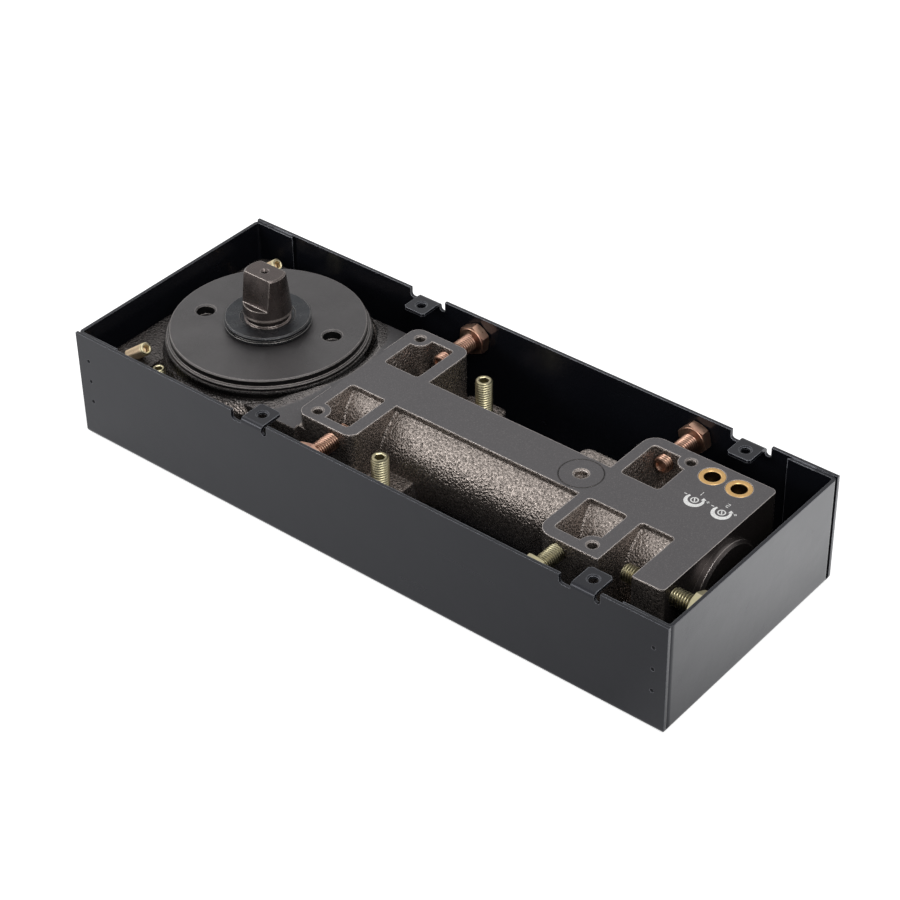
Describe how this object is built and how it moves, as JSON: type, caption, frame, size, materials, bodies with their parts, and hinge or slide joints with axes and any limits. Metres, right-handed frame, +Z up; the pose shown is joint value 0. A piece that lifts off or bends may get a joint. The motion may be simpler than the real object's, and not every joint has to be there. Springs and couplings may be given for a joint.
{
  "type": "floor spring door closer",
  "caption": "Hydraulic floor spring: a cast-iron closer with a flatted spindle, cam, spring and piston, held by levelling and side screws in a folded steel floor box.",
  "frame": {"origin": "centre of the floor box's plan, on its underside", "axes": "+X along the box from the spindle end to the valve end, +Y across it towards the side with the valve screws, +Z up along the spindle"},
  "size_m": [0.32, 0.12, 0.0805],
  "materials": {
    "box_paint": "semi-gloss black paint on folded sheet",
    "casting": "brown-grey hammered paint on the cast faces, ground matte top",
    "disc_iron": "ground, dark, slightly glossy",
    "rubber": "black",
    "brass": "turned, bright",
    "bearing_steel": "ground",
    "spindle_steel": "browned, worn bright on the edges",
    "collar_metal": "dark bluish grey, turned",
    "spring_steel": "oiled",
    "valve_steel": "turned",
    "zinc_yellow": "yellow zinc plate",
    "zinc_copper": "reddish zinc plate"
  },
  "bodies": {
    "box": {"cement_box": "box_paint"},
    "closer": {"casting": "casting", "cover_disc": "disc_iron", "cover_seal": "rubber", "end_cap": "casting", "end_cap_seal": "rubber", "filler_plug": "casting", "valve_bushes": "brass", "lower_bearing": "bearing_steel", "upper_bearing": "bearing_steel", "spindle_seal": "rubber", "spring_seat": "bearing_steel", "main_spring": "spring_steel"},
    "spindle": {"spindle": "spindle_steel", "heart_cam": "bearing_steel", "cam_key": "bearing_steel", "retaining_ring": "bearing_steel", "dust_collar": "collar_metal"},
    "carriage": {"slide_plates": "bearing_steel", "roller_pins": "bearing_steel", "yoke_pin": "bearing_steel", "tie_rod": "bearing_steel", "piston": "casting", "piston_seal": "rubber", "check_retainer": "brass"},
    "check_ball": {"check_ball": "bearing_steel"},
    "spring_roller": {"spring_roller": "bearing_steel"},
    "return_roller": {"return_roller": "bearing_steel"},
    "speed_valve": {"speed_valve": "valve_steel"},
    "latch_valve": {"latch_valve": "valve_steel"},
    "level_screw_near": {"level_screw_near": "zinc_yellow"},
    "level_screw_far": {"level_screw_far": "zinc_yellow"},
    "corner_screw_near": {"corner_screw_near": "zinc_yellow"},
    "corner_screw_far": {"corner_screw_far": "zinc_yellow"},
    "side_bolt_left_near": {"side_bolt_left_near": "zinc_copper"},
    "side_bolt_left_far": {"side_bolt_left_far": "zinc_copper"},
    "side_bolt_right_near": {"side_bolt_right_near": "zinc_yellow"},
    "side_bolt_right_far": {"side_bolt_right_far": "zinc_copper"},
    "end_bolt": {"end_bolt": "zinc_yellow"},
    "push_screw_near": {"push_screw_near": "zinc_copper"},
    "push_screw_far": {"push_screw_far": "zinc_copper"}
  },
  "joints": [
    {"name": "levelling", "type": "slide", "parent": "box", "child": "closer", "axis": [0, 0, 1], "range_m": [-0.0015, 0.0025]},
    {"name": "spindle_turn", "type": "hinge", "parent": "closer", "child": "spindle", "pos_m": [-0.0996, 0, 0], "axis": [0, 0, 1], "range_deg": [0, 130], "stiffness_Nm_per_rad": 12, "springref_deg": -57.3},
    {"name": "cam_slide", "type": "slide", "parent": "closer", "child": "carriage", "axis": [-1, 0, 0], "range_m": [0, 0.01361], "deforming": ["main_spring"]},
    {"name": "check_ball_lift", "type": "slide", "parent": "carriage", "child": "check_ball", "axis": [1, 0, 0], "range_m": [0, 0.0025]},
    {"name": "spring_roller_spin", "type": "hinge", "parent": "carriage", "child": "spring_roller", "pos_m": [-0.1186, 0, 0.0275], "axis": [0, 0, 1], "continuous": true},
    {"name": "return_roller_spin", "type": "hinge", "parent": "carriage", "child": "return_roller", "pos_m": [-0.06175, 0, 0.0275], "axis": [0, 0, 1], "continuous": true},
    {"name": "speed_valve_turn", "type": "hinge", "parent": "closer", "child": "speed_valve", "pos_m": [0.1172, 0.0315, 0.046], "axis": [0, 0, 1], "range_deg": [-90, 540]},
    {"name": "latch_valve_turn", "type": "hinge", "parent": "closer", "child": "latch_valve", "pos_m": [0.1304, 0.0315, 0.046], "axis": [0, 0, 1], "range_deg": [-90, 540]},
    {"name": "level_screw_near_feed", "type": "slide", "parent": "closer", "child": "level_screw_near", "axis": [0, 0, -1], "range_m": [-0.0015, 0.0025]},
    {"name": "level_screw_far_feed", "type": "slide", "parent": "closer", "child": "level_screw_far", "axis": [0, 0, -1], "range_m": [-0.0015, 0.0025]},
    {"name": "corner_screw_near_feed", "type": "slide", "parent": "closer", "child": "corner_screw_near", "axis": [0, 0, -1], "range_m": [-0.0015, 0.0025]},
    {"name": "corner_screw_far_feed", "type": "slide", "parent": "closer", "child": "corner_screw_far", "axis": [0, 0, -1], "range_m": [-0.0015, 0.0025]},
    {"name": "side_bolt_left_near_feed", "type": "slide", "parent": "closer", "child": "side_bolt_left_near", "axis": [0, 1, 0], "range_m": [0, 0.004]},
    {"name": "side_bolt_left_far_feed", "type": "slide", "parent": "closer", "child": "side_bolt_left_far", "axis": [0, -1, 0], "range_m": [0, 0.004]},
    {"name": "side_bolt_right_near_feed", "type": "slide", "parent": "closer", "child": "side_bolt_right_near", "axis": [0, 1, 0], "range_m": [0, 0.004]},
    {"name": "side_bolt_right_far_feed", "type": "slide", "parent": "closer", "child": "side_bolt_right_far", "axis": [0, -1, 0], "range_m": [0, 0.004]},
    {"name": "end_bolt_feed", "type": "slide", "parent": "closer", "child": "end_bolt", "axis": [-1, 0, 0], "range_m": [0, 0.004]},
    {"name": "push_screw_near_feed", "type": "slide", "parent": "closer", "child": "push_screw_near", "axis": [0.788, 0, 0.6157], "range_m": [0, 0.004]},
    {"name": "push_screw_far_feed", "type": "slide", "parent": "closer", "child": "push_screw_far", "axis": [0.788, 0, 0.6157], "range_m": [0, 0.004]}
  ],
  "couplings": [
    {"joint": "spindle_turn", "follows": "cam_slide", "rad_per_m": 166.67},
    {"joint": "level_screw_near_feed", "follows": "levelling", "ratio": 1},
    {"joint": "level_screw_far_feed", "follows": "levelling", "ratio": 1},
    {"joint": "corner_screw_near_feed", "follows": "levelling", "ratio": 1},
    {"joint": "corner_screw_far_feed", "follows": "levelling", "ratio": 1}
  ]
}
